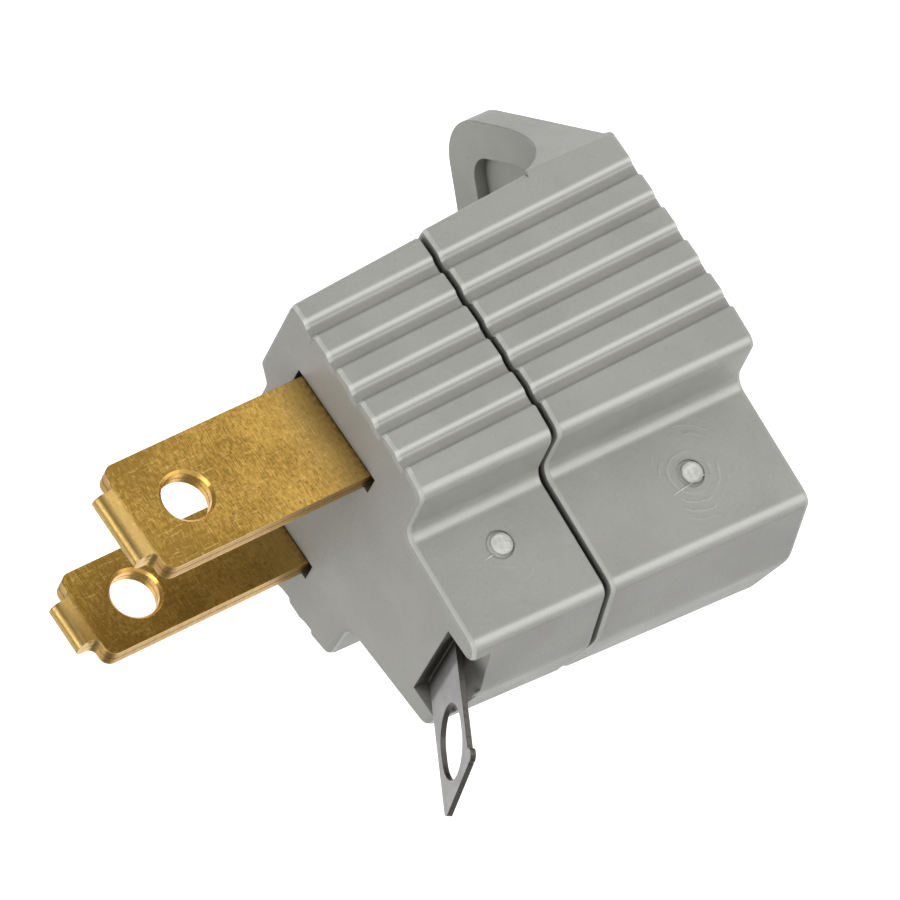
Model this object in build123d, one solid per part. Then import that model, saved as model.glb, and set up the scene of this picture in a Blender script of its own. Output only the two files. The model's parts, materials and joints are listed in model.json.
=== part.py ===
from build123d import *
from dataclasses import dataclass
import math
import os

# Grounding plug adapter: a three-hole socket body with two flat plug blades and a ground tab.
# Origin: on the socket face, midway between the two line slots.
# +Z runs from the socket face to the blade tips, +Y points to the finger grip,
# and +X points to the wide blade. All sizes are in millimetres.

# Standard pin pattern of the plug and the socket
PIN_PITCH = 12.7
GROUND_DROP = 11.89
WIDE_BLADE = 7.8
NARROW_BLADE = 6.2
BLADE_LENGTH = 16.8
GROUND_PIN_RADIUS = 2.4

# Housing depths
BODY_DEPTH = 26.2
FRONT_DEPTH = 10.2
SHADOW_GAP = 0.35
PLUG_WALL = 3.0
SOCKET_WALL = 2.2
EDGE_ROUND = 0.4
SEAM_ROUND = 0.12
SEAM_LIP = 1.1


@dataclass(frozen=True)
class Section:
    """Main sizes of the housing outline at one depth, before its corners are rounded."""

    top: float
    top_half: float
    rib_half: float
    shoulder_half: float
    shoulder: float
    valley_half: float
    valley: float
    foot_half: float
    foot: float
    keel: float
    first_ridge: float
    rib_pitch: float


# The outline grows from the plug face to the socket face: the moulded draft
PLUG_SECTION = Section(
    top=7.15,
    top_half=10.8,
    rib_half=10.95,
    shoulder_half=10.55,
    shoulder=-7.85,
    valley_half=6.3,
    valley=-8.05,
    foot_half=5.3,
    foot=-16.4,
    keel=-17.4,
    first_ridge=5.76,
    rib_pitch=2.58,
)
SOCKET_SECTION = Section(
    top=8.45,
    top_half=11.95,
    rib_half=11.7,
    shoulder_half=11.3,
    shoulder=-8.35,
    valley_half=7.1,
    valley=-8.6,
    foot_half=6.0,
    foot=-17.55,
    keel=-18.7,
    first_ridge=6.25,
    rib_pitch=2.63,
)
REAR_TOP_STEP = 0.25

# Grip ribs: under each ridge a gentle slope, a slanting groove floor and a steep way out
RIB_COUNT = 5
GROOVE_ENTRY = 0.4
GROOVE_ENTRY_DEPTH = 0.2
GROOVE_FLOOR = 0.64
GROOVE_DEPTH = 0.29
GROOVE_EXIT = 0.22
RIDGE_ROUND = 0.18

# Rounds of the outline's larger corners
TOP_ROUND = 0.45
SHOULDER_ROUND = 0.9
VALLEY_ROUND = 1.1
FOOT_ROUND = 1.0
KEEL_ROUND = 2.5

# Shallow channel along the top
CHANNEL_HALF = 3.6
CHANNEL_RUN = 1.0
CHANNEL_DEPTH = 1.1
CHANNEL_ROUND = 0.6

# Gabled finger grip at the socket end, scooped out in front with a blind pocket
GRIP_APEX = 18.75
GRIP_SLOPE = 41.6
GRIP_APEX_ROUND = 4.0
GRIP_THICKNESS = 2.35
GRIP_FOOT_LENGTH = 7.1
GRIP_SCOOP_RADIUS = 7.4
GRIP_BORDER = 2.6
GRIP_POCKET_DEPTH = 0.95
GRIP_POCKET_HALF = 4.4
GRIP_POCKET_FLOOR = 0.6
GRIP_POCKET_APEX_ROUND = 1.9
GRIP_POCKET_SIDE_ROUND = 2.8
GRIP_POCKET_FOOT_ROUND = 0.4
GRIP_SINK = 0.03

# Brass strip of the two line pieces: two leaves folded over at the blade tip
LEAF = 0.71
LEAF_SEAM = 0.04
BEND_RADIUS = 0.75
CONTACT_SPREAD = 1.75
CONTACT_SHOULDER = 0.9
CONTACT_PINCH = 0.97
CONTACT_MOUTH = 1.9
PINCH_HEIGHT = 5.6
SPREAD_HEIGHT = 11.5
CONTACT_CLEARANCE = 0.15

# Blade tip: rounded corners, a scooped relief each side and the folded nose
NOSE_LENGTH = 1.4
NOSE_INSET = 1.5
TIP_ROUND = 0.95
TIP_SCOOP = 0.5
BLADE_HOLE_HEIGHT = 11.45
BLADE_HOLE_RADIUS = 1.62
BLADE_HOLE_SINK = 0.2

# Clearance of the blades in the plug face, and of the spread contacts in their pockets
SLOT_END_CLEARANCE = 0.42
SLOT_SIDE_CLEARANCE = 0.08
POCKET_CLEARANCE = 0.3

# Socket openings
SOCKET_SLOT_END = 0.4
SOCKET_SLOT_WIDTH = 2.1
SOCKET_LEAD_IN = 0.4
GROUND_HOLE_RADIUS = 2.75
GROUND_HOLE_FLAT = 2.5

# Steel ground strip: a clip for the round pin, a bend over the front lip and the screw tab
STRIP = 0.36
STRIP_WIDTH = 6.2
STRIP_CLEARANCE = 0.06
STRIP_END = 2.6
CLIP_GRIP = 0.12
CLIP_HEIGHT = 4.9
CLIP_ROOT = (11.5, 17.0)
CLIP_FREE_GAP = 0.35
CLIP_MOUTH = 3.1
TAB_ANGLE = 28.6
TAB_BEND_RADIUS = 0.6
TAB_BEND_BACK = 0.96
TAB_LENGTH = 9.1
TAB_WIDTH = 5.6
TAB_SLANT = 0.6
TAB_CORNER = 0.4
TAB_NIB_RADIUS = 0.45
TAB_NIB_BACK = 0.45
TAB_START_BELOW_WALL = 1.0
TAB_HOLE_TO_END = 3.4
TAB_HOLE_WIDTH = 4.2
TAB_HOLE_LENGTH = 4.9

# Notch in the front lower edge that the tab leaves through, its back wall sloped
NOTCH_HALF = 3.8
NOTCH_SHIFT = 0.3
NOTCH_DEPTH = 1.15
NOTCH_RUN = 0.5
NOTCH_TOP = 0.15
SLIT_HALF_CLEARANCE = 0.15

# Locating posts of the front half and their holes in the rear half
POST_RADIUS = 1.3
POST_LENGTH = 3.0
POST_FIT = 0.02
POST_END_CLEARANCE = 0.3
POST_HEIGHTS = (3.2, -6.0)

# Moulding gate marks on the wide-blade side of the ground section: a button in a dimple
GATE_RADIUS = 0.95
GATE_DIMPLE = 0.12
GATE_BUTTON_RADIUS = 0.74
GATE_BUTTON_BACK = 0.16
GATE_RISE = 0.12
GATE_SPOTS = ((-11.25, 20.8), (-12.6, 6.6))

# Heights and places worked out from the driving sizes
SPLIT_HEIGHT = BODY_DEPTH - FRONT_DEPTH
PLUG_WALL_INNER = BODY_DEPTH - PLUG_WALL
STRIP_MIDDLE = -GROUND_DROP - GROUND_PIN_RADIUS - STRIP_CLEARANCE - STRIP / 2
CLIP_SPREAD = STRIP_WIDTH / 2 - STRIP / 2
GROUND_FLOOR = STRIP_MIDDLE - STRIP / 2 - STRIP_CLEARANCE
GROUND_CEILING = STRIP_MIDDLE + STRIP / 2 + CLIP_HEIGHT + POCKET_CLEARANCE
BLADE_HALF_THICKNESS = LEAF + LEAF_SEAM / 2


def section_at(height):
    """Outline sizes at one height, in line between the socket face and the plug face."""
    share = height / BODY_DEPTH
    values = {}
    for name in Section.__dataclass_fields__:
        rear = getattr(SOCKET_SECTION, name)
        front = getattr(PLUG_SECTION, name)
        values[name] = rear + (front - rear) * share
    return Section(**values)


def side_half(section, level):
    """Half width of the ribbed side at one level, from the top corner to the last ridge."""
    last_ridge = section.first_ridge - (RIB_COUNT - 1) * section.rib_pitch
    share = (section.top - level) / (section.top - last_ridge)
    return section.top_half + (section.rib_half - section.top_half) * share


def groove_corners(section, ridge):
    """Corners of one groove, from its ridge down to the start of the next land."""
    floor_start = ridge - GROOVE_ENTRY
    floor_end = floor_start - GROOVE_FLOOR
    land = floor_end - GROOVE_EXIT
    return [
        (side_half(section, ridge), ridge, RIDGE_ROUND),
        (side_half(section, floor_start) - GROOVE_ENTRY_DEPTH, floor_start, 0.0),
        (side_half(section, floor_end) - GROOVE_DEPTH, floor_end, 0.0),
        (side_half(section, land), land, RIDGE_ROUND),
    ]


def half_corners(height, top_step, ribs):
    """Corners of the +X half of the outline as (x, y, round), from the top down."""
    s = section_at(height)
    top = s.top + top_step
    corners = [
        (CHANNEL_HALF - CHANNEL_RUN, top - CHANNEL_DEPTH, CHANNEL_ROUND),
        (CHANNEL_HALF, top, CHANNEL_ROUND),
        (s.top_half, top, TOP_ROUND),
    ]
    if ribs:
        for index in range(RIB_COUNT):
            corners += groove_corners(s, s.first_ridge - index * s.rib_pitch)
    corners += [
        (s.shoulder_half, s.shoulder, SHOULDER_ROUND),
        (s.valley_half, s.valley, VALLEY_ROUND),
        (s.foot_half, s.foot, FOOT_ROUND),
    ]
    return corners, (0.0, s.keel, KEEL_ROUND)


def inset_corners(corners, inset):
    """Move every side of a clockwise outline inwards, keeping one corner for each corner."""
    moved = []
    count = len(corners)
    for index in range(count):
        before = Vector(*corners[index - 1][:2])
        here = Vector(*corners[index][:2])
        after = Vector(*corners[(index + 1) % count][:2])
        incoming = (here - before).normalized()
        outgoing = (after - here).normalized()
        turn = incoming.cross(outgoing).Z
        lean = inset * math.tan(math.atan2(turn, incoming.dot(outgoing)) / 2)
        inward = Vector(incoming.Y, -incoming.X)
        place = here + inward * inset + incoming * lean
        radius = corners[index][2]
        if radius:
            radius = max(radius + math.copysign(inset, turn), RIDGE_ROUND / 2)
        moved.append((place.X, place.Y, radius))
    return moved


def rounded_face(corners, height):
    """Flat face with each corner rounded by its own radius."""
    edges = []
    ends = []
    count = len(corners)
    for index in range(count):
        before = Vector(*corners[index - 1][:2], height)
        here = Vector(*corners[index][:2], height)
        after = Vector(*corners[(index + 1) % count][:2], height)
        radius = corners[index][2]
        back = (before - here).normalized()
        ahead = (after - here).normalized()
        if radius == 0.0:
            ends.append((here, None, here))
            continue
        half_angle = back.get_angle(ahead) * math.pi / 360
        reach = radius / math.tan(half_angle)
        bisector = (back + ahead).normalized()
        middle = here + bisector * (radius / math.sin(half_angle) - radius)
        ends.append((here + back * reach, middle, here + ahead * reach))
    for index in range(count):
        start, middle, end = ends[index]
        if middle is not None:
            edges.append(Edge.make_three_point_arc(start, middle, end))
        edges.append(Edge.make_line(end, ends[(index + 1) % count][0]))
    return Face(Wire(edges))


def outline(height, inset=0.0, top_step=0.0, ribs=True):
    """Full housing outline at one height, clockwise seen from the plug side."""
    right, keel = half_corners(height, top_step, ribs)
    left = [(-x, y, radius) for x, y, radius in reversed(right)]
    corners = right + [keel] + left
    return rounded_face(inset_corners(corners, inset), height)


def end_stations(height, inward, size):
    """Heights and insets of the outlines that round one end, from the end face inwards."""
    stations = [(height, size)]
    if size > SEAM_ROUND:
        inset = size * (1 - math.sqrt(0.5))
        stations.append((height + inward * inset, inset))
    stations.append((height + inward * size, 0.0))
    return stations


def drafted_body(low, high, low_round, high_round, top_step=0.0):
    """Ribbed body between two heights, its end edges rounded over or, when small, bevelled."""
    stations = end_stations(low, 1, low_round)
    stations += reversed(end_stations(high, -1, high_round))
    faces = [outline(height, inset, top_step) for height, inset in stations]
    return Solid(loft(faces, ruled=True).wrapped)


def block(x_range, y_range, z_range):
    """Box between two limits on each axis."""
    sizes = [high - low for low, high in (x_range, y_range, z_range)]
    centre = [(low + high) / 2 for low, high in (x_range, y_range, z_range)]
    return Pos(*centre) * Box(*sizes)


def contact_pocket(sign, blade_width, z_range):
    """Room round one spread contact."""
    middle = sign * PIN_PITCH / 2
    half_x = CONTACT_MOUTH + LEAF / 2 + POCKET_CLEARANCE
    half_y = blade_width / 2 + POCKET_CLEARANCE
    return block((middle - half_x, middle + half_x), (-half_y, half_y), z_range)


def ground_pocket(z_range):
    """Room round the ground clip."""
    half_x = CLIP_MOUTH + STRIP / 2 + POCKET_CLEARANCE
    return block((-half_x, half_x), (GROUND_FLOOR, GROUND_CEILING), z_range)


def plug_slot(sign, blade_width):
    """Slot in the plug wall that one blade passes through."""
    middle = sign * PIN_PITCH / 2
    half_x = BLADE_HALF_THICKNESS + SLOT_SIDE_CLEARANCE
    half_y = blade_width / 2 + SLOT_END_CLEARANCE
    z_range = (PLUG_WALL_INNER - 1, BODY_DEPTH + 1)
    return block((middle - half_x, middle + half_x), (-half_y, half_y), z_range)


def tab_notch():
    """Notch in the front lower edge, and the slit behind it for the ground strip."""
    strip_top = STRIP_MIDDLE + STRIP / 2
    notch_top = strip_top + NOTCH_TOP
    back = BODY_DEPTH - NOTCH_DEPTH
    front = BODY_DEPTH + 1
    with BuildSketch(Plane.YZ) as side:
        Polygon(
            (notch_top, back),
            (notch_top, front),
            (PLUG_SECTION.keel, front),
            (PLUG_SECTION.keel, back - NOTCH_RUN),
            align=None,
        )
    notch = Pos(NOTCH_SHIFT, 0, 0) * extrude(side.sketch, amount=NOTCH_HALF, both=True)
    slit_half = TAB_WIDTH / 2 + SLIT_HALF_CLEARANCE
    slit_y = (GROUND_FLOOR, strip_top + STRIP_CLEARANCE)
    slit = block((-slit_half, slit_half), slit_y, (PLUG_WALL_INNER - 1, BODY_DEPTH))
    return notch + slit


def locating_post(height, radius, length):
    """Post or hole on the centre line, from the joint towards the socket face."""
    middle = SPLIT_HEIGHT - length / 2
    return Pos(0, height, middle) * Cylinder(radius, length)


def gate_place(spot):
    """Place on the drafted side wall at one level and height, its Z axis out of the wall."""
    level, height = spot
    s = section_at(height)
    share = (s.valley - level) / (s.valley - s.foot)
    wall = s.valley_half + (s.foot_half - s.valley_half) * share
    lean = math.degrees(math.atan2(s.valley_half - s.foot_half, s.valley - s.foot))
    draft = SOCKET_SECTION.valley_half - PLUG_SECTION.valley_half
    tilt = math.degrees(math.atan2(draft, BODY_DEPTH))
    return Pos(wall, level, height) * Rot(0, 0, -lean) * Rot(0, 90 - tilt, 0)


def with_gate_mark(body, spot):
    """Body with the mark of one moulding gate: a low button that stands in a round dimple."""
    place = gate_place(spot)
    dimple = Cylinder(GATE_RADIUS, 2 * GATE_DIMPLE)
    button = Pos(GATE_BUTTON_BACK, 0, GATE_RISE / 2 - 0.5) * Cylinder(GATE_BUTTON_RADIUS, GATE_RISE + 1)
    button = chamfer(button.edges().sort_by(Axis.Z)[-1], GATE_RISE * 0.8)
    return (body - place * dimple) + place * button


def front_housing():
    """Plug-side half: ribbed shell, blade slots, tab notch and locating posts."""
    body = drafted_body(SPLIT_HEIGHT, BODY_DEPTH, SEAM_ROUND, EDGE_ROUND)
    pocket_z = (SPLIT_HEIGHT - 1, PLUG_WALL_INNER)
    for sign, width in ((1, WIDE_BLADE), (-1, NARROW_BLADE)):
        body -= contact_pocket(sign, width, pocket_z)
        body -= plug_slot(sign, width)
    body -= ground_pocket(pocket_z)
    body -= tab_notch()
    body = with_gate_mark(body, GATE_SPOTS[0])
    for height in POST_HEIGHTS:
        root = Pos(0, height, SPLIT_HEIGHT + 0.5) * Cylinder(POST_RADIUS, 1.0)
        post = locating_post(height, POST_RADIUS, POST_LENGTH)
        tip = post.edges().sort_by(Axis.Z)[0]
        body += chamfer(tip, 0.3) + root
    return body


def gable_face(height):
    """Gable outline at one height, its sides in line with those of the drafted body."""
    s = section_at(height)
    eaves = GRIP_APEX - s.top_half * math.tan(math.radians(GRIP_SLOPE))
    base = s.first_ridge + 0.4
    foot_half = side_half(s, base) - GRIP_SINK
    eaves_half = side_half(s, eaves) + GRIP_SINK / 2
    corners = [
        (-foot_half, base, 0.0),
        (-eaves_half, eaves, 0.0),
        (0.0, GRIP_APEX, GRIP_APEX_ROUND),
        (eaves_half, eaves, 0.0),
        (foot_half, base, 0.0),
    ]
    return rounded_face(corners, height)


def gable_relief():
    """Wedges above the gable's slope that trim the body's top corners under the grip."""
    slope = math.tan(math.radians(GRIP_SLOPE))
    inner = SOCKET_SECTION.top_half - 2 * TOP_ROUND
    outer = SOCKET_SECTION.top_half + 1
    with BuildSketch() as wedge:
        Polygon(
            (inner, GRIP_APEX - inner * slope),
            (outer, GRIP_APEX - inner * slope),
            (outer, GRIP_APEX - outer * slope),
            align=None,
        )
    side = extrude(wedge.sketch, amount=GRIP_FOOT_LENGTH)
    return side + mirror(side, about=Plane.YZ)


def scoop():
    """Cut in front of the grip: flat in the middle, swept forward at both feet."""
    s = section_at(GRIP_FOOT_LENGTH)
    half = s.top_half + 1
    sweep_rise = GRIP_FOOT_LENGTH - GRIP_THICKNESS
    reach = math.sqrt(GRIP_SCOOP_RADIUS**2 - (GRIP_SCOOP_RADIUS - sweep_rise) ** 2)
    flat_half = s.top_half - reach
    centre_z = GRIP_THICKNESS + GRIP_SCOOP_RADIUS
    diagonal = GRIP_SCOOP_RADIUS * math.sqrt(0.5)
    wall = flat_half + GRIP_SCOOP_RADIUS
    top = GRIP_FOOT_LENGTH + 5
    with BuildSketch(Plane.XZ) as cut:
        with BuildLine():
            Line((-flat_half, GRIP_THICKNESS), (flat_half, GRIP_THICKNESS))
            ThreePointArc(
                (flat_half, GRIP_THICKNESS),
                (flat_half + diagonal, centre_z - diagonal),
                (wall, centre_z),
            )
            Line((wall, centre_z), (wall, top))
            Line((wall, top), (-wall, top))
            Line((-wall, top), (-wall, centre_z))
            ThreePointArc(
                (-wall, centre_z),
                (-flat_half - diagonal, centre_z - diagonal),
                (-flat_half, GRIP_THICKNESS),
            )
        make_face()
    return extrude(cut.sketch, amount=-(GRIP_APEX + half))


def grip_pocket():
    """Blind rounded-triangle pocket in the grip's front face."""
    s = section_at(GRIP_THICKNESS)
    slope = math.radians(GRIP_SLOPE)
    apex = GRIP_APEX - GRIP_BORDER / math.cos(slope)
    floor = s.top + REAR_TOP_STEP + GRIP_POCKET_FLOOR
    shoulder = apex - GRIP_POCKET_HALF * math.tan(slope)
    corners = [
        (-GRIP_POCKET_HALF, floor, GRIP_POCKET_FOOT_ROUND),
        (-GRIP_POCKET_HALF, shoulder, GRIP_POCKET_SIDE_ROUND),
        (0.0, apex, GRIP_POCKET_APEX_ROUND),
        (GRIP_POCKET_HALF, shoulder, GRIP_POCKET_SIDE_ROUND),
        (GRIP_POCKET_HALF, floor, GRIP_POCKET_FOOT_ROUND),
    ]
    bottom = GRIP_THICKNESS - GRIP_POCKET_DEPTH
    return extrude(rounded_face(corners, bottom), amount=GRIP_FOOT_LENGTH, dir=(0, 0, 1))


def grip():
    """Finger grip that stands on the socket end of the rear housing."""
    faces = [gable_face(0.0), gable_face(GRIP_FOOT_LENGTH)]
    solid = Solid(loft(faces, ruled=True).wrapped)
    rear_edges = solid.faces().sort_by(Axis.Z)[0].edges()
    upper = [edge for edge in rear_edges if edge.center().Y > section_at(0.0).first_ridge + 0.5]
    solid = chamfer(upper, EDGE_ROUND)
    channel = half_corners(GRIP_FOOT_LENGTH, REAR_TOP_STEP, False)[0][0][1]
    return (solid - Pos(0, channel, 0) * scoop()) - grip_pocket()


def socket_slot(sign, blade_width):
    """One line slot in the socket face with its sloped lead-in."""
    middle = sign * PIN_PITCH / 2
    length = blade_width + 2 * SOCKET_SLOT_END
    through = Pos(middle, 0, SOCKET_WALL / 2) * Box(SOCKET_SLOT_WIDTH, length, SOCKET_WALL + 1)
    wide = Pos(middle, 0) * Rectangle(
        SOCKET_SLOT_WIDTH + 2 * SOCKET_LEAD_IN, length + 2 * SOCKET_LEAD_IN
    )
    tight = Pos(middle, 0, SOCKET_LEAD_IN) * Rectangle(SOCKET_SLOT_WIDTH, length)
    return through + loft([wide.face(), tight.face()], ruled=True)


def ground_hole_face(grow, height):
    """Arch-shaped ground opening: round towards the line slots, flat at the far side."""
    radius = GROUND_HOLE_RADIUS + grow
    flat = GROUND_HOLE_FLAT + grow
    with BuildSketch(Plane.XY.offset(height)) as arch:
        with BuildLine():
            Line((-radius, -flat), (-radius, 0))
            ThreePointArc((-radius, 0), (0, radius), (radius, 0))
            Line((radius, 0), (radius, -flat))
            Line((radius, -flat), (-radius, -flat))
        make_face()
    return Pos(0, -GROUND_DROP) * arch.sketch.face()


def ground_hole():
    """Ground opening through the socket wall, with its lead-in."""
    through = extrude(ground_hole_face(0.0, -1.0), amount=SOCKET_WALL + 2, dir=(0, 0, 1))
    lead = loft(
        [ground_hole_face(SOCKET_LEAD_IN, 0.0), ground_hole_face(0.0, SOCKET_LEAD_IN)],
        ruled=True,
    )
    return through + lead


def rear_housing():
    """Socket-side half: ribbed shell, finger grip, socket openings and contact pockets."""
    rim = SPLIT_HEIGHT - SHADOW_GAP
    body = drafted_body(0.0, rim, EDGE_ROUND, EDGE_ROUND, REAR_TOP_STEP)
    seat = outline(rim - 0.5, inset=SEAM_LIP, ribs=False)
    body += extrude(seat, amount=SHADOW_GAP + 0.5, dir=(0, 0, 1))
    body -= gable_relief()
    body += grip()
    pocket_z = (SOCKET_WALL, SPLIT_HEIGHT + 1)
    for sign, width in ((1, WIDE_BLADE), (-1, NARROW_BLADE)):
        body -= contact_pocket(sign, width, pocket_z)
        body -= socket_slot(sign, width)
    body -= ground_pocket(pocket_z)
    body -= ground_hole()
    for height in POST_HEIGHTS:
        depth = POST_LENGTH + POST_END_CLEARANCE
        body -= locating_post(height, POST_RADIUS + POST_FIT, depth)
    return with_gate_mark(body, GATE_SPOTS[1])


def swept_strip(points, radius, width, thickness):
    """Flat strip bent along a path in the XZ plane, its width along Y."""
    path = FilletPolyline(*points, radius=radius)
    start = path @ 0
    plane = Plane(origin=start, x_dir=(0, 1, 0), z_dir=path % 0)
    return sweep(plane * Rectangle(width, thickness), path=path)


def folded_leaves(width):
    """Strip folded at the blade tip, its two leaves spread apart inside the housing."""
    tip = BODY_DEPTH + BLADE_LENGTH
    inner = (LEAF + LEAF_SEAM) / 2
    fold = tip - LEAF / 2 - inner
    shoulder = PLUG_WALL_INNER - CONTACT_CLEARANCE - LEAF / 2
    side = [
        (CONTACT_MOUTH, SOCKET_WALL + CONTACT_CLEARANCE),
        (CONTACT_PINCH, PINCH_HEIGHT),
        (CONTACT_SPREAD, SPREAD_HEIGHT),
        (CONTACT_SPREAD, shoulder - CONTACT_SHOULDER),
        (inner, shoulder),
        (inner, fold),
    ]
    right = [(x, 0, z) for x, z in side]
    leaf = swept_strip(right, BEND_RADIUS, width, LEAF)
    with BuildSketch(Plane.XZ) as ring:
        with Locations((0, fold)):
            Circle(inner + LEAF / 2)
            Circle(LEAF_SEAM / 2, mode=Mode.SUBTRACT)
            with Locations((0, -inner - LEAF)):
                Rectangle(4 * inner, 2 * (inner + LEAF), mode=Mode.SUBTRACT)
    nose = extrude(ring.sketch, amount=width / 2, both=True)
    return leaf + mirror(leaf, about=Plane.YZ) + nose


def blade_plan(width):
    """Side view of the strip: straight edges, scooped tip corners and the narrower nose."""
    half = width / 2
    tip = BODY_DEPTH + BLADE_LENGTH
    nose_half = half - NOSE_INSET
    shoulder = tip - NOSE_LENGTH
    corners = [
        (-half, 0.0, 0.0),
        (-half, shoulder, TIP_ROUND),
        (-nose_half, shoulder, TIP_SCOOP),
        (-nose_half, tip + 0.5, 0.0),
        (nose_half, tip + 0.5, 0.0),
        (nose_half, shoulder, TIP_SCOOP),
        (half, shoulder, TIP_ROUND),
        (half, 0.0, 0.0),
    ]
    plan = rounded_tip_face(corners)
    return extrude(plan, amount=PIN_PITCH / 2 - 0.1, both=True)


def rounded_tip_face(corners):
    """Face in the YZ plane from (y, z, round) corners, arcs clipped to half of each side."""
    flat = []
    for index, (y, z, radius) in enumerate(corners):
        near = [corners[index - 1], corners[(index + 1) % len(corners)]]
        room = min(math.dist((y, z), other[:2]) for other in near) / 2
        flat.append((y, z, min(radius, room * 0.98)))
    return Plane.YZ * rounded_face(flat, 0.0)


def blade_hole():
    """Hole through both leaves, countersunk from each side."""
    height = BODY_DEPTH + BLADE_HOLE_HEIGHT
    turn = Pos(0, 0, height) * Rot(0, 90, 0)
    hole = turn * Cylinder(BLADE_HOLE_RADIUS, 4 * BLADE_HALF_THICKNESS)
    rise = BLADE_HALF_THICKNESS - BLADE_HOLE_SINK
    for sign in (1, -1):
        wide = BLADE_HOLE_RADIUS + BLADE_HOLE_SINK
        cone = Cone(BLADE_HOLE_RADIUS, wide, BLADE_HOLE_SINK)
        place = Pos(sign * (rise + BLADE_HOLE_SINK / 2), 0, height) * Rot(0, sign * 90, 0)
        hole += place * cone
    return hole


def line_piece(sign, width):
    """Plug blade and socket contact in one folded strip of brass."""
    strip = folded_leaves(width) & blade_plan(width)
    return Pos(sign * PIN_PITCH / 2, 0, 0) * (strip - blade_hole())


def clip_finger():
    """Side finger of the ground clip, pinched near its mouth, with its root on the strip."""
    grip_offset = GROUND_PIN_RADIUS - CLIP_GRIP + STRIP / 2
    root_low, root_high = CLIP_ROOT
    points = [
        (CLIP_MOUTH, 0, STRIP_END),
        (grip_offset, 0, PINCH_HEIGHT),
        (CLIP_SPREAD, 0, root_low),
        (CLIP_SPREAD, 0, root_high),
    ]
    low = STRIP_MIDDLE + STRIP / 2 + CLIP_FREE_GAP
    high = STRIP_MIDDLE + STRIP / 2 + CLIP_HEIGHT
    blade = Pos(0, (low + high) / 2, 0) * swept_strip(points, BEND_RADIUS, high - low, STRIP)
    x_range = (CLIP_SPREAD - STRIP / 2, CLIP_SPREAD + STRIP / 2)
    root = block(x_range, (STRIP_MIDDLE - STRIP / 2, low + 0.01), (root_low, root_high))
    return blade + root


def tab_plate():
    """Flat end of the screw tab: slanted cut, break-off nib and an oblong screw hole."""
    half = TAB_WIDTH / 2
    far = TAB_LENGTH + TAB_SLANT
    near = TAB_LENGTH - TAB_SLANT
    with BuildSketch() as plate:
        with BuildLine():
            Polyline(
                (TAB_BEND_RADIUS, -half),
                (far, -half),
                (near, half),
                (TAB_BEND_RADIUS, half),
                close=True,
            )
        make_face()
        tips = plate.vertices().sort_by(Axis.X)[-2:]
        fillet(tips, TAB_CORNER)
        with Locations((near - TAB_NIB_BACK, half)):
            Circle(TAB_NIB_RADIUS)
        with Locations((TAB_LENGTH - TAB_HOLE_TO_END, 0)):
            SlotOverall(TAB_HOLE_LENGTH, TAB_HOLE_WIDTH, mode=Mode.SUBTRACT)
    return extrude(plate.sketch, amount=STRIP / 2, both=True)


def ground_strip():
    """Ground clip, strip and bent screw tab, all one piece of steel."""
    bend_z = BODY_DEPTH - TAB_BEND_BACK
    angle = math.radians(TAB_ANGLE)
    along = (0, -math.cos(angle), math.sin(angle))
    outward = (0, math.sin(angle), math.cos(angle))
    bend = (0, STRIP_MIDDLE, bend_z)
    flat_start = (0, STRIP_MIDDLE + TAB_BEND_RADIUS * along[1], bend_z + TAB_BEND_RADIUS * along[2])
    tab_start = PLUG_WALL_INNER - TAB_START_BELOW_WALL
    path = FilletPolyline((0, STRIP_MIDDLE, tab_start), bend, flat_start, radius=TAB_BEND_RADIUS)
    section = Plane(origin=path @ 0, x_dir=(1, 0, 0), z_dir=(0, 0, 1))
    strip = sweep(section * Rectangle(TAB_WIDTH, STRIP), path=path)
    strip += Plane(origin=bend, x_dir=along, z_dir=outward) * tab_plate()
    y_range = (STRIP_MIDDLE - STRIP / 2, STRIP_MIDDLE + STRIP / 2)
    strip += block((-STRIP_WIDTH / 2, STRIP_WIDTH / 2), y_range, (STRIP_END, tab_start))
    finger = clip_finger()
    return strip + finger + mirror(finger, about=Plane.YZ)


def main():
    """Build every piece and write one file for each."""
    os.makedirs("parts", exist_ok=True)
    pieces = {
        "front_housing": front_housing(),
        "rear_housing": rear_housing(),
        "wide_blade_contact": line_piece(1, WIDE_BLADE),
        "narrow_blade_contact": line_piece(-1, NARROW_BLADE),
        "ground_strip": ground_strip(),
    }
    for name, piece in pieces.items():
        export_step(piece, f"parts/{name}.step")


main()
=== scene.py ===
"""Looks of the grounding plug adapter: grey housing, folded brass blades, steel ground tab."""

import json
import logging
import math
from dataclasses import dataclass, field
from enum import Enum
from typing import Any

import bpy
from mathutils import Matrix, Vector

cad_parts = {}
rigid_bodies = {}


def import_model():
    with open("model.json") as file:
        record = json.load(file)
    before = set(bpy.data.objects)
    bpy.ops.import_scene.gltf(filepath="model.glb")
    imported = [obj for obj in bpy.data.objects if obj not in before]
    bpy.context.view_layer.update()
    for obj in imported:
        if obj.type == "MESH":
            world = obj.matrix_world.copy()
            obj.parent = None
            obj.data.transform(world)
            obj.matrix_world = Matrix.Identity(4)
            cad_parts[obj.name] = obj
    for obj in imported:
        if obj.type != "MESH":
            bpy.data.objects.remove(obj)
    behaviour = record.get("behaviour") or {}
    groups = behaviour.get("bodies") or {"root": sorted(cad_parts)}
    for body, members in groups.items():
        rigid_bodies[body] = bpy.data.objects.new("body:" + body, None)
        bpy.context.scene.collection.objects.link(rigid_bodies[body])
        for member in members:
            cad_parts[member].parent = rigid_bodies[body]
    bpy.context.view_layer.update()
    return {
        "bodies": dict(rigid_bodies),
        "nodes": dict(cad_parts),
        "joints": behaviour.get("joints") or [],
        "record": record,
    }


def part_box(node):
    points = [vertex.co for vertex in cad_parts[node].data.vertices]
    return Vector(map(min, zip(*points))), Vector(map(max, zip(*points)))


MM = 0.001

log = logging.getLogger("adapter")

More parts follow.
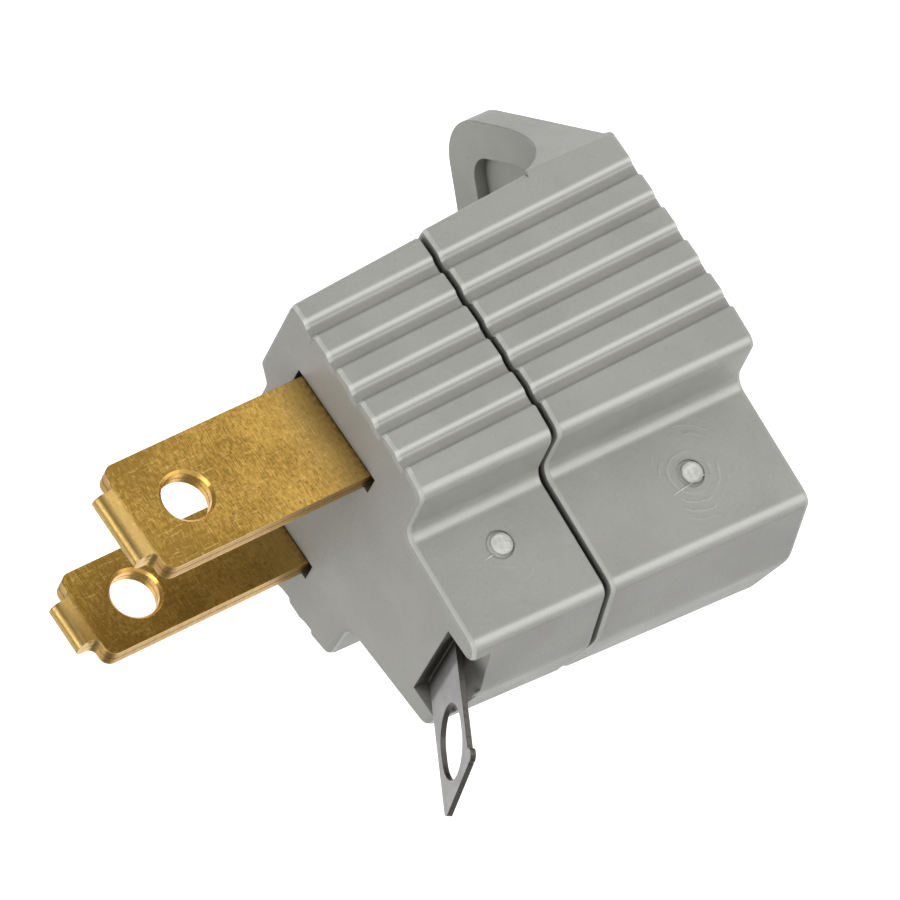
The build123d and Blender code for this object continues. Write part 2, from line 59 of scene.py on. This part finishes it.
Colour = tuple[float, float, float]
Point = tuple[float, float, float]


class Slot(Enum):
    """Material slots of the record."""

    PLASTIC = "grey_plastic"
    BRASS = "brass"
    STEEL = "steel"


class Direction(Enum):
    """How a metal's marks are drawn out, as a stretch of the row frame's axes."""

    ACROSS_BLADE = (0.5, 1.0, 8.0)
    ALONG_BLADE = (0.5, 7.0, 1.0)
    SCORED = (0.5, 1.4, 5.0)
    ALONG_TAB = (8.0, 0.5, 0.5)


class Value:
    """One socket of a shader tree, with the arithmetic that a finish needs."""

    def __init__(self, bench: "Bench", socket: bpy.types.NodeSocket | None) -> None:
        """Keep the bench and the socket, or none for a node without outputs."""
        self.bench = bench
        self.socket = socket

    def _math(self, operation: str, *terms: "Value | float") -> "Value":
        """Add one Math node.

        Args:
            operation: Name of the operation, as Blender gives it.
            terms: Values or numbers, in the order of the node's inputs.

        Returns:
            The node's result.
        """
        inputs = dict(enumerate(terms))
        return self.bench.node("ShaderNodeMath", {"operation": operation}, inputs)

    def __add__(self, other: "Value | float") -> "Value":
        """Sum."""
        return self._math("ADD", self, other)

    __radd__ = __add__

    def __sub__(self, other: "Value | float") -> "Value":
        """Difference."""
        return self._math("SUBTRACT", self, other)

    def __rsub__(self, other: "Value | float") -> "Value":
        """Difference with the number in front."""
        return self._math("SUBTRACT", other, self)

    def __mul__(self, other: "Value | float") -> "Value":
        """Product."""
        return self._math("MULTIPLY", self, other)

    def __pow__(self, power: float) -> "Value":
        """Power."""
        return self._math("POWER", self, power)

    def __mod__(self, period: "Value | float") -> "Value":
        """Remainder, never negative for a period above 0."""
        return self._math("FLOORED_MODULO", self, period)

    def __abs__(self) -> "Value":
        """Size without its sign."""
        return self._math("ABSOLUTE", self)

    def sine(self) -> "Value":
        """Sine of the value in radians."""
        return self._math("SINE", self)

    def ramp(self, low: float, high: float) -> "Value":
        """Smooth step.

        Args:
            low: Value that gives 0.
            high: Value that gives 1; it may be the smaller of the two.

        Returns:
            A value from 0 to 1.
        """
        settings = {"interpolation_type": "SMOOTHSTEP"}
        inputs = {"Value": self, "From Min": low, "From Max": high}
        return self.bench.node("ShaderNodeMapRange", settings, inputs)


class Bench:
    """Node tree of one material, with short ways to add to it."""

    def __init__(self, name: str) -> None:
        """Start an empty material.

        Args:
            name: The material's name.
        """
        self.material = bpy.data.materials.new(name)
        self.material.use_nodes = True
        self.tree = self.material.node_tree
        self.tree.nodes.clear()

    def node(
        self,
        kind: str,
        settings: dict[str, Any] | None = None,
        inputs: dict[str | int, Any] | None = None,
        output: str | int = 0,
    ) -> Value:
        """Add any node.

        Args:
            kind: The node's type.
            settings: Its properties, set before its sockets.
            inputs: Values or links by socket identifier, name or index.
            output: The output that the result stands for.

        Returns:
            That output.
        """
        made = self.tree.nodes.new(kind)
        for name, setting in (settings or {}).items():
            setattr(made, name, setting)
        for key, given in (inputs or {}).items():
            socket = self._find(made.inputs, key)
            if isinstance(given, Value):
                self.tree.links.new(given.socket, socket)
            else:
                socket.default_value = given
        return Value(self, self._find(made.outputs, output) if made.outputs else None)

    @staticmethod
    def _find(sockets: Any, key: str | int) -> bpy.types.NodeSocket:
        """Pick a socket.

        Args:
            sockets: The node's inputs or outputs.
            key: Index, identifier or name.

        Returns:
            The socket.
        """
        if isinstance(key, int):
            return sockets[key]
        for socket in sockets:
            if socket.identifier == key:
                return socket
        return sockets[key]

    def place(self) -> Value:
        """Position on the part.

        Returns:
            The position in millimetres, in the row frame.
        """
        metres = self.node("ShaderNodeTexCoord", output="Object")
        settings = {"operation": "SCALE"}
        return self.node("ShaderNodeVectorMath", settings, {0: metres, "Scale": 1 / MM})

    def axis(self, vector: Value, name: str) -> Value:
        """One component of a vector, named X, Y or Z."""
        return self.node("ShaderNodeSeparateXYZ", inputs={0: vector}, output=name)

    def facing(self) -> Value:
        """Surface normal in the row frame."""
        return self.node("ShaderNodeNewGeometry", output="Normal")

    def stretch(self, vector: Value, factors: Point) -> Value:
        """Vector with each component multiplied by its own factor."""
        settings = {"operation": "MULTIPLY"}
        return self.node("ShaderNodeVectorMath", settings, {0: vector, 1: factors})

    def distance(self, vector: Value, point: Point) -> Value:
        """Distance of a position to a fixed point.

        Args:
            vector: Position in millimetres.
            point: The point in millimetres.

        Returns:
            The distance in millimetres.
        """
        settings = {"operation": "DISTANCE"}
        inputs = {0: vector, 1: point}
        return self.node("ShaderNodeVectorMath", settings, inputs, output="Value")

    def noise(
        self, vector: Value, scale: float, detail: float = 2.0, distortion: float = 0.0
    ) -> Value:
        """Noise.

        Args:
            vector: Position in millimetres.
            scale: Cells to the millimetre.
            detail: Octaves.
            distortion: How far the cells are pulled about.

        Returns:
            A value round 0.5.
        """
        inputs = {"Vector": vector, "Scale": scale, "Detail": detail, "Distortion": distortion}
        return self.node("ShaderNodeTexNoise", inputs=inputs, output="Fac")

    def mix(self, factor: Value, first: "Colour | Value", second: "Colour | Value") -> Value:
        """Blend of two colours.

        Args:
            factor: 0 gives the first, 1 the second.
            first: Colour or colour socket.
            second: Colour or colour socket.

        Returns:
            The blended colour.
        """
        ends = [end if isinstance(end, Value) else (*end, 1.0) for end in (first, second)]
        inputs = {"Factor_Float": factor, "A_Color": ends[0], "B_Color": ends[1]}
        settings = {"data_type": "RGBA"}
        return self.node("ShaderNodeMix", settings, inputs, output="Result_Color")

    def openness(self, reach: float, inside: bool) -> Value:
        """How free the surface stands.

        Args:
            reach: Distance in metres that is looked over.
            inside: Look into the material, which finds edges, instead of out of it.

        Returns:
            1 on a flat stretch, less in a crevice or, inside, on an edge.
        """
        settings = {"samples": 8, "inside": inside, "only_local": inside}
        inputs = {"Distance": reach}
        return self.node("ShaderNodeAmbientOcclusion", settings, inputs, output="AO")

    def bump(self, height: Value, depth: float, soft_edge: float) -> Value:
        """Relief over softened edges.

        Args:
            height: Relief from 0 to 1.
            depth: Size of the relief in metres.
            soft_edge: Radius in metres to which sharp edges look rounded.

        Returns:
            The surface normal.
        """
        edge = self.node("ShaderNodeBevel", {"samples": 6}, {"Radius": soft_edge})
        inputs = {"Height": height, "Distance": depth, "Strength": 1.0, "Normal": edge}
        return self.node("ShaderNodeBump", inputs=inputs)

    def finish(self, inputs: dict[str | int, Any]) -> bpy.types.Material:
        """Close the tree.

        Args:
            inputs: Sockets of the Principled shader.

        Returns:
            The finished material.
        """
        shader = self.node("ShaderNodeBsdfPrincipled", inputs=inputs)
        self.node("ShaderNodeOutputMaterial", inputs={"Surface": shader})
        return self.material


@dataclass(frozen=True)
class Drafted:
    """Size in millimetres that changes evenly from the socket face to the plug face."""

    rear: float
    front: float
    depth: float = 26.2

    def at(self, height: Value) -> Value:
        """The size at a height above the socket face."""
        return height * ((self.front - self.rear) / self.depth) + self.rear


@dataclass(frozen=True)
class GateMark:
    """Mark of one moulding gate: its place on the wall, the tail of its trimming and the flow
    lines.
    """

    place: Point
    tail_length: float
    tail_below: float
    flow: float


@dataclass(frozen=True)
class MouldedPlastic:
    """Satin warm-grey moulded plastic: gate marks, painted highlights on ribs and edges, painted
    shade in hollows.

    Sizes given times MM are metres for Blender's sockets. The others are millimetres in
    the row frame. A share, and the nick and tail values, tell how much of the pale colour, which
    also serves for painted highlights, or of the painted shade colour is mixed in.
    """

    light: Colour = (0.322, 0.320, 0.296)
    dark: Colour = (0.280, 0.279, 0.258)
    pale_and_highlight: Colour = (0.62, 0.62, 0.59)
    shade_colour: Colour = (0.052, 0.049, 0.042)
    roughness: float = 0.40
    grain_depth: float = 0.042 * MM
    soft_edge: float = 0.14 * MM
    crevice_reach: float = 1.0 * MM
    edge_reach: float = 0.7 * MM
    first_ridge: Drafted = Drafted(6.25, 5.76)
    rib_pitch: Drafted = Drafted(2.63, 2.58)
    rib_count: int = 5
    ribs_end: float = -6.0
    foot: float = -14.0
    notch: Point = (0.0, -14.6, 26.0)
    notch_reach: float = 5.2
    notch_look: float = 2.5 * MM
    crest_lead: float = 0.3
    crest_middle: float = 0.06
    entry_foot: float = 0.41
    groove_start: float = 0.46
    groove_end: float = 1.05
    crest_highlight_share: float = 0.85
    entry_highlight_share: float = 0.35
    edge_highlight_share: float = 0.7
    front_highlight_gain: float = 1.25
    nick_shine: float = 0.45
    crevice_shade_share: float = 0.88
    groove_shade_share: float = 0.24
    underside_shade_share: float = 0.25
    notch_shade_share: float = 0.25
    dimple_unshaded: float = 0.75
    dimple_width: float = 0.6
    button_radius: float = 0.74
    ring_pitch: float = 0.55
    ring_reach: float = 4.6
    tail_width: float = 0.09
    tail_start: float = 0.83
    tail_slope: float = 0.11
    tail_shine: float = 1.3
    flow_highlight_share: float = 0.35
    gates: tuple[GateMark, ...] = (
        GateMark((6.0, -11.25, 20.8), 2.5, 0.2, 0.25),
        GateMark((6.8, -12.6, 6.6), 2.9, 0.47, 1.0),
    )

    def material(self) -> bpy.types.Material:
        """Build the shader.

        Returns:
            The finished material.
        """
        bench = Bench("moulded_plastic")
        place = bench.place()
        cloud = bench.noise(place, 0.22, 3.0).ramp(0.3, 0.7)
        speckle = bench.noise(place, 3.2, 3.0).ramp(0.58, 0.72)
        grain = bench.noise(place, 6.5, 3.0)
        # painted shade: darker in creases, grooves, the seam and the notch, from ambient occlusion
        crevice = bench.openness(self.crevice_reach, inside=False).ramp(0.88, 0.25)
        crest_highlight, groove_shade = self._ribs(bench, place)
        # painted highlight on the rounded edges, kept out of the grooves and creases
        edge = self._edge_highlights(bench, place) * (1 - groove_shade) * (1 - crevice)
        scars_and_highlights, rings = self._gate_marks(bench, place)
        # the painted crevice shade is lifted over the gate dimples
        crevice = crevice * (1 - self._near_gates(bench, place) * self.dimple_unshaded)
        pits = bench.noise(place, 7.5, 2.0)
        colour = bench.mix(cloud * 0.6 + speckle * 0.45 + pits * 0.3, self.light, self.dark)
        nick = pits.ramp(0.70, 0.78) * bench.noise(place, 0.9).ramp(0.48, 0.60)
        colour = bench.mix(nick * self.nick_shine, colour, self.pale_and_highlight)
        # painted shade on the floors of the grooves
        colour = bench.mix(groove_shade * self.groove_shade_share, colour, self.shade_colour)
        # painted highlights on the edges and rib tops, with the pale gate marks and their painted
        # highlights
        highlight_and_marks = edge * self.edge_highlight_share + crest_highlight * self.crest_highlight_share + scars_and_highlights
        colour = bench.mix(highlight_and_marks, colour, self.pale_and_highlight)
        # painted shade from the creases, the underside and round the notch
        painted_shade = crevice * self.crevice_shade_share + self._painted_shade_low(bench, place)
        colour = bench.mix(painted_shade, colour, self.shade_colour)
        height = grain + bench.noise(place, 2.6) * 0.5 + rings + scars_and_highlights * 2.0
        rough = self.roughness + grain * 0.08 + (cloud + groove_shade) * 0.06 - (edge + crest_highlight) * 0.1
        return bench.finish(
            {
                "Base Color": colour,
                "Roughness": rough,
                "IOR": 1.47,
                "Normal": bench.bump(height, self.grain_depth, self.soft_edge),
            }
        )

    def _edge_highlights(self, bench: Bench, place: Value) -> Value:
        """Painted highlights on the rounded edges.

        Args:
            bench: The tree.
            place: Position in millimetres.

        Returns:
            1 where the surface turns from a side to the underside or to the plug face.
        """
        facing = bench.facing()
        under = bench.axis(facing, "Y")
        ahead = bench.axis(facing, "Z")
        lower = under.ramp(-0.16, -0.40) * under.ramp(-0.85, -0.50)
        lower = lower * bench.axis(place, "Y").ramp(self.ribs_end, self.ribs_end - 0.4)
        front = ahead.ramp(0.25, 0.50) * ahead.ramp(0.95, 0.75)
        # painted highlight on convex edges, found by looking into the material
        convex_highlight = bench.openness(self.edge_reach, inside=True).ramp(0.97, 0.80)
        return lower * abs(ahead).ramp(0.5, 0.2) + front * convex_highlight * self.front_highlight_gain

    def _painted_shade_low(self, bench: Bench, place: Value) -> Value:
        """Painted shade on the underside and round the strip in its notch.

        Args:
            bench: The tree.
            place: Position in millimetres.

        Returns:
            How much painted shade lies there.
        """
        # painted shade on faces turned down and deep round the notch
        under = bench.axis(bench.facing(), "Y").ramp(-0.85, -0.96)
        under = under * bench.axis(place, "Y").ramp(self.foot + 1.0, self.foot)
        near = bench.distance(place, self.notch).ramp(self.notch_reach, self.notch_reach - 0.8)
        deep = bench.openness(self.notch_look, inside=False).ramp(0.85, 0.45)
        return under * self.underside_shade_share + near * deep * self.notch_shade_share

    def _near_gates(self, bench: Bench, place: Value) -> Value | float:
        """Dimples of the gates, where no painted crevice shade is laid.

        Args:
            bench: The tree.
            place: Position in millimetres.

        Returns:
            1 over each dimple.
        """
        near: Value | float = 0.0
        for gate in self.gates:
            away = bench.distance(place, gate.place) - self.button_radius
            near = away.ramp(self.dimple_width, self.dimple_width * 0.5) + near
        return near

    def _ribs(self, bench: Bench, place: Value) -> tuple[Value, Value]:
        """Painted light on the grip ribs.

        Args:
            bench: The tree.
            place: Position in millimetres.

        Returns:
            Painted highlights along the rib tops and the foot of each entry wall, and painted shade
            on the floors of the grooves.
        """
        height = bench.axis(place, "Z")
        pitch = self.rib_pitch.at(height)
        below = self.first_ridge.at(height) - bench.axis(place, "Y") + self.crest_lead
        side = abs(bench.axis(bench.facing(), "X")).ramp(0.5, 0.7)
        ribbed = side * below.ramp(-0.05, 0.05) * (below - pitch * self.rib_count).ramp(0.0, -0.1)
        down = below % pitch - self.crest_lead
        # painted highlight along each rib top
        rise = down.ramp(-self.crest_lead, self.crest_middle)
        crest_highlight = rise**2.2 * down.ramp(self.entry_foot - 0.08, self.crest_middle)
        # painted highlight at the foot of each entry wall
        line = abs(down - self.entry_foot + 0.03).ramp(0.10, 0.02) * self.entry_highlight_share
        # painted shade on the floors of the grooves
        groove_shade = down.ramp(self.groove_start, self.groove_start + 0.14)
        groove_shade = groove_shade * down.ramp(self.groove_end + 0.2, self.groove_end)
        return (crest_highlight + line) * ribbed, groove_shade * ribbed

    def _gate_marks(self, bench: Bench, place: Value) -> tuple[Value, Value]:
        """Marks that the moulding left round each gate.

        Args:
            bench: The tree.
            place: Position in millimetres.

        Returns:
            The pale sheared spots with their tails and with painted highlights on their rims and
            flow lines, and the relief of the flow lines.
        """
        scars_and_highlights: Value | float = 0.0
        rings: Value | float = 0.0
        level = bench.axis(place, "Y")
        height = bench.axis(place, "Z")
        wander = bench.noise(place, 0.7) * 6.0
        patchy = bench.noise(place, 0.45).ramp(0.48, 0.62)
        rough_spot = bench.noise(place, 2.4, 3.0).ramp(0.3, 0.65)
        for gate in self.gates:
            away = bench.distance(place, gate.place)
            wave = (away * (2 * math.pi / self.ring_pitch) + wander).sine()
            flow = away.ramp(self.ring_reach, 1.2) * patchy * gate.flow
            rings = wave * flow * 0.5 + rings
            spot = away.ramp(self.button_radius, self.button_radius * 0.8)
            # painted highlight round the rim of each dimple
            rim = abs(away - self.button_radius).ramp(0.16, 0.04) * 0.5
            # painted highlight on the tops of the flow lines
            flow_crest_highlight = wave.ramp(0.7, 1.0) * flow * self.flow_highlight_share
            spot = spot * (rough_spot * 0.5 + 0.5) + rim + flow_crest_highlight
            run = height - (gate.place[2] - self.tail_start)
            off = level - (gate.place[1] - gate.tail_below) + run * self.tail_slope
            line = abs(off).ramp(self.tail_width, self.tail_width * 0.3)
            tail = line * run.ramp(-0.1, 0.1) * run.ramp(gate.tail_length, gate.tail_length * 0.6)
            beside = away.ramp(self.button_radius * 0.9, self.button_radius)
            this_wall = away.ramp(gate.tail_length + 1.0, gate.tail_length)
            scars_and_highlights = spot + tail * beside * this_wall * self.tail_shine + scars_and_highlights
        return scars_and_highlights, rings


@dataclass(frozen=True)
class RolledBrass:
    """Tarnished rolled brass: short scratches, dark blotches, clean metal where it was pressed.

    Sizes given times MM are metres, the others millimetres in the row frame.
    """

    body: Colour = (0.57, 0.355, 0.086)
    shade: Colour = (0.25, 0.148, 0.030)
    bright: Colour = (0.66, 0.46, 0.17)
    copper: Colour = (0.52, 0.31, 0.085)
    wall: Colour = (0.82, 0.50, 0.13)
    tarnish: Colour = (0.09, 0.055, 0.022)
    roughness: float = 0.38
    grain_depth: float = 0.014 * MM
    soft_edge: float = 0.10 * MM
    middle: float = 6.35
    half_thickness: float = 0.73
    seam_width: float = 0.09
    root: float = 26.2
    tip: float = 43.0
    nose: float = 1.4
    hole_height: float = 37.65
    hole_radius: float = 1.62
    hole_rim: float = 0.2
    dull_from: float = 29.0
    dull_to: float = 41.0
    root_light_height: float = 4.3
    root_dark_height: float = 0.7

    def material(self) -> bpy.types.Material:
        """Build the shader.

        Returns:
            The finished material.
        """
        bench = Bench("rolled_brass")
        place = bench.place()
        facing = bench.facing()
        height = bench.axis(place, "Z")
        scratch = bench.noise(bench.stretch(place, Direction.ACROSS_BLADE.value), 1.7, 4.0, 0.7)
        hatch = bench.noise(bench.stretch(place, Direction.ALONG_BLADE.value), 1.3, 4.0, 0.7)
        mottle = bench.noise(place, 3.4, 5.0)
        cloud = bench.noise(place, 0.33, 4.0).ramp(0.34, 0.66)
        speck = bench.noise(place, 5.0, 1.0).ramp(0.70, 0.76)
        streak = scratch.ramp(0.42, 0.60)
        dull_tip = height.ramp(self.dull_from, self.dull_to)
        tone = cloud * 0.34 + streak * 0.34 + mottle.ramp(0.36, 0.66) * 0.34 + dull_tip * 0.5
        colour = bench.mix(tone, self.body, self.shade)
        fleck = hatch.ramp(0.60, 0.68) + scratch.ramp(0.38, 0.32)
        colour = bench.mix(fleck * 0.4, colour, self.bright)
        scored = bench.noise(bench.stretch(place, Direction.SCORED.value), 1.6, 3.0, 1.2)
        colour = bench.mix(scored.ramp(0.63, 0.70) * 0.45, colour, self.tarnish)
        # painted light: lighter for the first few millimetres above the housing
        root_light = height.ramp(self.root + self.root_light_height, self.root + 0.6)
        colour = bench.mix(root_light * 0.4, colour, self.bright)
        # darker and mottled close to the housing, with dark specks all over
        root_dark = height.ramp(self.root + self.root_dark_height, self.root) * mottle.ramp(0.35, 0.6)
        colour = bench.mix(root_dark * 0.35 + speck * 0.5, colour, self.tarnish)
        colour = self._edges(bench, place, facing, colour)
        nose, rim = self._pressed(bench, place, facing)
        clean = nose + rim
        colour = bench.mix(nose * 0.7, colour, self.bright)
        colour = bench.mix(rim * 0.85, colour, self.wall)
        rough = self.roughness + streak * 0.10 + speck * 0.15 - clean * 0.12
        relief = (scratch * 0.7 + hatch * 0.5 + mottle * 0.6) * (1 - clean * 0.9)
        return bench.finish(
            {
                "Base Color": colour,
                "Metallic": 1.0,
                "Roughness": rough,
                "Normal": bench.bump(relief, self.grain_depth, self.soft_edge),
            }
        )

    def _edges(self, bench: Bench, place: Value, facing: Value, colour: Value) -> Value:
        """Cut edges of the strip: coppery, with a painted highlight along their rounded rims and
        the dark line where its two leaves meet.

        Args:
            bench: The tree.
            place: Position in millimetres.
            facing: Surface normal.
            colour: Colour of the faces.

        Returns:
            The colour with its edges.
        """
        depth = abs(abs(bench.axis(place, "X")) - self.middle)
        height = bench.axis(place, "Z")
        fold = height.ramp(self.tip - 1.2, self.tip - 1.0)
        fold = fold * abs(bench.axis(facing, "Y")).ramp(0.7, 0.4)
        side = abs(bench.axis(facing, "X")).ramp(0.75, 0.35) * (1 - fold)
        blade = height.ramp(self.root - 1.5, self.root)
        rim = depth.ramp(self.half_thickness - 0.22, self.half_thickness - 0.04)
        seam = depth.ramp(self.seam_width, self.seam_width * 0.3) * blade
        colour = bench.mix(side * 0.7, colour, self.copper)
        # painted highlight along the rounded rim of each edge
        colour = bench.mix(side * rim * 0.8, colour, self.bright)
        return bench.mix(side * seam * 0.85, colour, self.tarnish)

    def _pressed(self, bench: Bench, place: Value, facing: Value) -> tuple[Value, Value]:
        """Where the press left clean metal.

        Args:
            bench: The tree.
            place: Position in millimetres.
            facing: Surface normal.

        Returns:
            Masks of the folded nose and of the rim and wall of the hole.
        """
        height = bench.axis(place, "Z")
        start = self.tip - self.nose
        nose = height.ramp(start - 0.1, start + 0.25)
        level = bench.axis(place, "Y")
        reach = ((height - self.hole_height) ** 2 + level**2) ** 0.5
        outer = self.hole_radius + self.hole_rim
        rim = reach.ramp(outer + 0.12, outer) * reach.ramp(self.hole_radius - 0.3, self.hole_radius)
        flat = abs(bench.axis(facing, "X")).ramp(0.85, 0.97)
        return nose * 0.8, rim * (1 - flat) * (1 - nose)


@dataclass(frozen=True)
class PlatedSteel:
    """Grey plated steel strip with a satin sheen, fine scratches, dark sheared edges, painted shade
    in its creases and a painted dark reflection at its bend.

    Sizes given times MM are metres, the others millimetres in the row frame. The tab's
    rise and run are the parts of its direction along +Z and -Y.
    """

    body: Colour = (0.50, 0.495, 0.49)
    shade: Colour = (0.36, 0.355, 0.355)
    cut_and_shade: Colour = (0.085, 0.078, 0.068)
    roughness: float = 0.40
    grain_depth: float = 0.006 * MM
    soft_edge: float = 0.05 * MM
    crevice_reach: float = 2.2 * MM
    bend: float = -15.1
    tab_rise: float = 0.479
    tab_run: float = 0.878

    def material(self) -> bpy.types.Material:
        """Build the shader.

        Returns:
            The finished material.
        """
        bench = Bench("plated_steel")
        place = bench.place()
        facing = bench.facing()
        streak = bench.noise(bench.stretch(place, Direction.ALONG_TAB.value), 1.5, 3.0)
        cloud = bench.noise(place, 0.6, 3.0).ramp(0.3, 0.7)
        speck = bench.noise(place, 3.5, 2.0).ramp(0.60, 0.70)
        # painted shade in the creases and under the notch's walls
        crevice = bench.openness(self.crevice_reach, inside=False).ramp(0.95, 0.40)
        colour = bench.mix(cloud * 0.6 + streak * 0.4, self.body, self.shade)
        end = abs(bench.axis(facing, "Z") * self.tab_rise - bench.axis(facing, "Y") * self.tab_run)
        side = abs(bench.axis(facing, "X")).ramp(0.20, 0.45) + end.ramp(0.40, 0.65)
        # painted dark reflection on the strip near its bend
        root = bench.axis(place, "Y").ramp(self.bend - 0.9, self.bend - 0.5)
        colour = bench.mix(side * 0.9 + speck * 0.15, colour, self.cut_and_shade)
        colour = bench.mix(crevice * 0.6 + root * 0.6, colour, self.cut_and_shade)
        return bench.finish(
            {
                "Base Color": colour,
                "Metallic": 0.9,
                "Roughness": self.roughness + streak * 0.14,
                "Normal": bench.bump(streak + speck * 0.5, self.grain_depth, self.soft_edge),
            }
        )


@dataclass
class SubAssembly:
    """CAD nodes that share one finish."""

    nodes: tuple[str, ...]
    slot: Slot

    def dress(self, frame: dict[str, Any], material: bpy.types.Material) -> None:
        """Give each node its finish.

        Args:
            material: The finish.
        """
        for name in self.nodes:
            piece = frame["nodes"][name]
            piece.data.materials.clear()
            piece.data.materials.append(material)
            low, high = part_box(name)
            size = [round((b - a) / MM, 1) for a, b in zip(low, high)]
            log.info("%s: %s, %s mm", name, self.slot.value, size)


@dataclass
class Housing(SubAssembly):
    """Both moulded halves of the body."""

    nodes: tuple[str, ...] = ("front_housing", "rear_housing")
    slot: Slot = Slot.PLASTIC


@dataclass
class LinePieces(SubAssembly):
    """Both folded strips: plug blade outside, socket contact inside."""

    nodes: tuple[str, ...] = ("wide_blade_contact", "narrow_blade_contact")
    slot: Slot = Slot.BRASS


@dataclass
class GroundPiece(SubAssembly):
    """Ground clip, strip and screw tab."""

    nodes: tuple[str, ...] = ("ground_strip",)
    slot: Slot = Slot.STEEL


@dataclass(frozen=True)
class Softbox:
    """One soft studio light that faces the part."""

    name: str
    azimuth: float
    elevation: float
    distance: float
    size: float
    power: float

    def build(self, target: Vector) -> None:
        """Place the light.

        Args:
            target: Point that it faces.
        """
        data = bpy.data.lights.new(self.name, "AREA")
        data.shape = "SQUARE"
        data.size = self.size
        data.energy = self.power
        light = bpy.data.objects.new(self.name, data)
        back = direction(self.azimuth, self.elevation)
        light.location = target + back * self.distance
        light.rotation_mode = "QUATERNION"
        light.rotation_quaternion = back.to_track_quat("Z", "Y")
        bpy.context.scene.collection.objects.link(light)


def direction(azimuth: float, elevation: float) -> Vector:
    """Unit vector from the part outwards.

    Args:
        azimuth: Degrees round +Z; 0 looks from -Y and 90 from +X.
        elevation: Degrees above the floor.

    Returns:
        The vector.
    """
    turn = math.radians(azimuth)
    rise = math.radians(elevation)
    flat = math.cos(rise)
    return Vector((math.sin(turn) * flat, -math.cos(turn) * flat, math.sin(rise)))


@dataclass
class Studio:
    """Pale floor, soft lights and the camera at the photo's viewing angle."""

    target: Vector = field(default_factory=lambda: Vector((0.0034, -0.0034, 0.0183)))
    camera_azimuth: float = 71.67
    camera_elevation: float = 29.37
    camera_roll: float = -115.45
    camera_distance: float = 0.45
    focal_px: float = 7181.2
    image_px: float = 900.0
    sensor: float = 36.0
    floor_half: float = 3.0
    floor_drop: float = 30.0 * MM
    floor_colour: Colour = (0.93, 0.93, 0.925)
    floor_glow: float = 0.55
    sky_strength: float = 0.25
    lights: tuple[Softbox, ...] = (
        Softbox("key", 88.0, 14.0, 0.9, 0.5, 1.1),
        Softbox("fill", 25.0, 20.0, 1.0, 0.7, 0.8),
        Softbox("overhead", 60.0, 78.0, 1.1, 1.0, 9.6),
        Softbox("rear", 250.0, 40.0, 1.1, 0.8, 1.8),
        Softbox("low_rear", 236.0, 6.0, 1.0, 0.7, 0.9),
    )

    def build(self) -> None:
        """Make floor, sky, lights and camera."""
        self._floor()
        self._sky()
        for softbox in self.lights:
            softbox.build(self.target)
        self._camera()
        bpy.context.scene.view_settings.view_transform = "Standard"

    def _floor(self) -> None:
        """Flat pale floor, so far below the part that its shadow is lost in the white."""
        h = self.floor_half
        z = -self.floor_drop
        corners = [(-h, -h, z), (h, -h, z), (h, h, z), (-h, h, z)]
        mesh = bpy.data.meshes.new("studio_floor")
        mesh.from_pydata(corners, [], [(0, 1, 2, 3)])
        floor = bpy.data.objects.new("studio_floor", mesh)
        bench = Bench("studio_floor")
        colour = (*self.floor_colour, 1.0)
        finish = {"Base Color": colour, "Roughness": 0.9, "Emission Color": colour}
        finish["Emission Strength"] = self.floor_glow
        mesh.materials.append(bench.finish(finish))
        bpy.context.scene.collection.objects.link(floor)

    def _sky(self) -> None:
        """Even white surround."""
        world = bpy.data.worlds.new("studio_sky")
        world.use_nodes = True
        background = world.node_tree.nodes["Background"]
        background.inputs["Color"].default_value = (1.0, 1.0, 1.0, 1.0)
        background.inputs["Strength"].default_value = self.sky_strength
        bpy.context.scene.world = world

    def _camera(self) -> None:
        """Camera that sees the part as the photo does."""
        data = bpy.data.cameras.new("photo_camera")
        data.sensor_width = self.sensor
        data.lens = self.focal_px / self.image_px * self.sensor
        camera = bpy.data.objects.new("photo_camera", data)
        back = direction(self.camera_azimuth, self.camera_elevation)
        upright = back.to_track_quat("Z", "Y")
        roll = Matrix.Rotation(math.radians(self.camera_roll), 4, "Z").to_quaternion()
        camera.rotation_mode = "QUATERNION"
        camera.rotation_quaternion = upright @ roll
        camera.location = self.target + back * self.camera_distance
        data.clip_start = self.camera_distance * 0.01
        bpy.context.scene.collection.objects.link(camera)
        bpy.context.scene.camera = camera


def main() -> None:
    """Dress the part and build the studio."""
    logging.basicConfig(level=logging.INFO, format="%(name)s: %(message)s")
    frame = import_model()
    Housing().dress(frame, MouldedPlastic().material())
    LinePieces().dress(frame, RolledBrass().material())
    GroundPiece().dress(frame, PlatedSteel().material())
    Studio().build()


if __name__ == "__main__":
    main()
